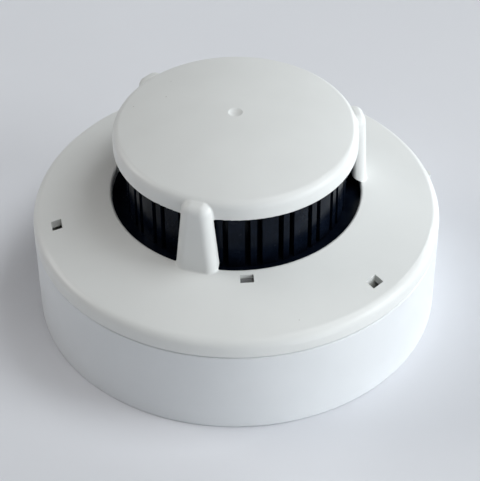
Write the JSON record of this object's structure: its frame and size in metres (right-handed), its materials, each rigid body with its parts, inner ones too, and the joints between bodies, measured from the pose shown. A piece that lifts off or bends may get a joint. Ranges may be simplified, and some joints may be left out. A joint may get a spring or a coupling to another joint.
{
  "type": "smoke detector",
  "caption": "Round ceiling smoke detector: a twist-lock white head with a shallow domed cap on three pillars over a black optical chamber, on a deep base.",
  "frame": {"origin": "centre of the mounting base's back face, which is the bottom of the object as it lies on a table", "axes": "+Z from the base's back face to the cap (down into the room when it hangs on a ceiling), +X along the line of the two fixing slots"},
  "size_m": [0.1, 0.1, 0.055],
  "materials": {
    "cover_white": "satin moulded ABS, fine texture",
    "base_white": "satin moulded ABS",
    "housing_white": "matt moulded ABS",
    "chamber_black": "satin black moulding",
    "screen_black": "black coated mesh",
    "board_green": "solder mask over glass laminate",
    "package_black": "moulded epoxy",
    "capacitor_can": "sleeved can",
    "ceramic_tan": "fired ceramic with tinned ends",
    "resistor_black": "glazed film with tinned ends",
    "contact_brass": "stamped, bright",
    "screw_steel": "zinc plated",
    "clamp_steel": "zinc plated, yellow passivated",
    "rivet_tin": "tinned",
    "led_red": "tinted epoxy",
    "pipe_clear": "clear acrylic",
    "emitter_blue": "blue tinted epoxy",
    "diode_black": "infrared filter epoxy",
    "shield_tin": "tinned sheet"
  },
  "bodies": {
    "base": {"base_housing": "base_white", "base_contacts": "contact_brass"},
    "head": {"front_cover": "cover_white", "back_housing": "housing_white", "housing_screws": "screw_steel", "contact_blades": "contact_brass", "contact_rivets": "rivet_tin", "circuit_board": "board_green", "signal_chip": "package_black", "bridge_rectifier": "package_black", "transistors": "package_black", "electrolytic_capacitor": "capacitor_can", "ceramic_capacitors": "ceramic_tan", "resistors": "resistor_black", "alarm_led": "led_red", "light_pipe": "pipe_clear", "shield_can": "shield_tin", "chamber_base": "chamber_black", "infrared_emitter": "emitter_blue", "photodiode": "diode_black", "insect_screen": "screen_black", "labyrinth_cover": "chamber_black"},
    "clamp_1": {"clamp_plate_1": "clamp_steel"},
    "screw_1": {"terminal_screw_1": "screw_steel"},
    "clamp_2": {"clamp_plate_2": "clamp_steel"},
    "screw_2": {"terminal_screw_2": "screw_steel"},
    "clamp_3": {"clamp_plate_3": "clamp_steel"},
    "screw_3": {"terminal_screw_3": "screw_steel"},
    "clamp_4": {"clamp_plate_4": "clamp_steel"},
    "screw_4": {"terminal_screw_4": "screw_steel"}
  },
  "joints": [
    {"name": "head_twist", "type": "hinge", "parent": "base", "child": "head", "pos_m": [0, 0, 0.0228], "axis": [0, 0, 1], "range_deg": [0, 18]},
    {"name": "clamp_1_lift", "type": "slide", "parent": "base", "child": "clamp_1", "axis": [0, 0, 1], "range_m": [0, 0.0012]},
    {"name": "screw_1_turn", "type": "hinge", "parent": "clamp_1", "child": "screw_1", "pos_m": [0.02864, 0.02864, 0.008], "axis": [0, 0, 1], "range_deg": [0, 720]},
    {"name": "clamp_2_lift", "type": "slide", "parent": "base", "child": "clamp_2", "axis": [0, 0, 1], "range_m": [0, 0.0012]},
    {"name": "screw_2_turn", "type": "hinge", "parent": "clamp_2", "child": "screw_2", "pos_m": [-0.02864, 0.02864, 0.008], "axis": [0, 0, 1], "range_deg": [0, 720]},
    {"name": "clamp_3_lift", "type": "slide", "parent": "base", "child": "clamp_3", "axis": [0, 0, 1], "range_m": [0, 0.0012]},
    {"name": "screw_3_turn", "type": "hinge", "parent": "clamp_3", "child": "screw_3", "pos_m": [-0.02864, -0.02864, 0.008], "axis": [0, 0, 1], "range_deg": [0, 720]},
    {"name": "clamp_4_lift", "type": "slide", "parent": "base", "child": "clamp_4", "axis": [0, 0, 1], "range_m": [0, 0.0012]},
    {"name": "screw_4_turn", "type": "hinge", "parent": "clamp_4", "child": "screw_4", "pos_m": [0.02864, -0.02864, 0.008], "axis": [0, 0, 1], "range_deg": [0, 720]}
  ],
  "couplings": [
    {"joint": "screw_1_turn", "follows": "clamp_1_lift", "rad_per_m": 10472},
    {"joint": "screw_2_turn", "follows": "clamp_2_lift", "rad_per_m": 10472},
    {"joint": "screw_3_turn", "follows": "clamp_3_lift", "rad_per_m": 10472},
    {"joint": "screw_4_turn", "follows": "clamp_4_lift", "rad_per_m": 10472}
  ]
}
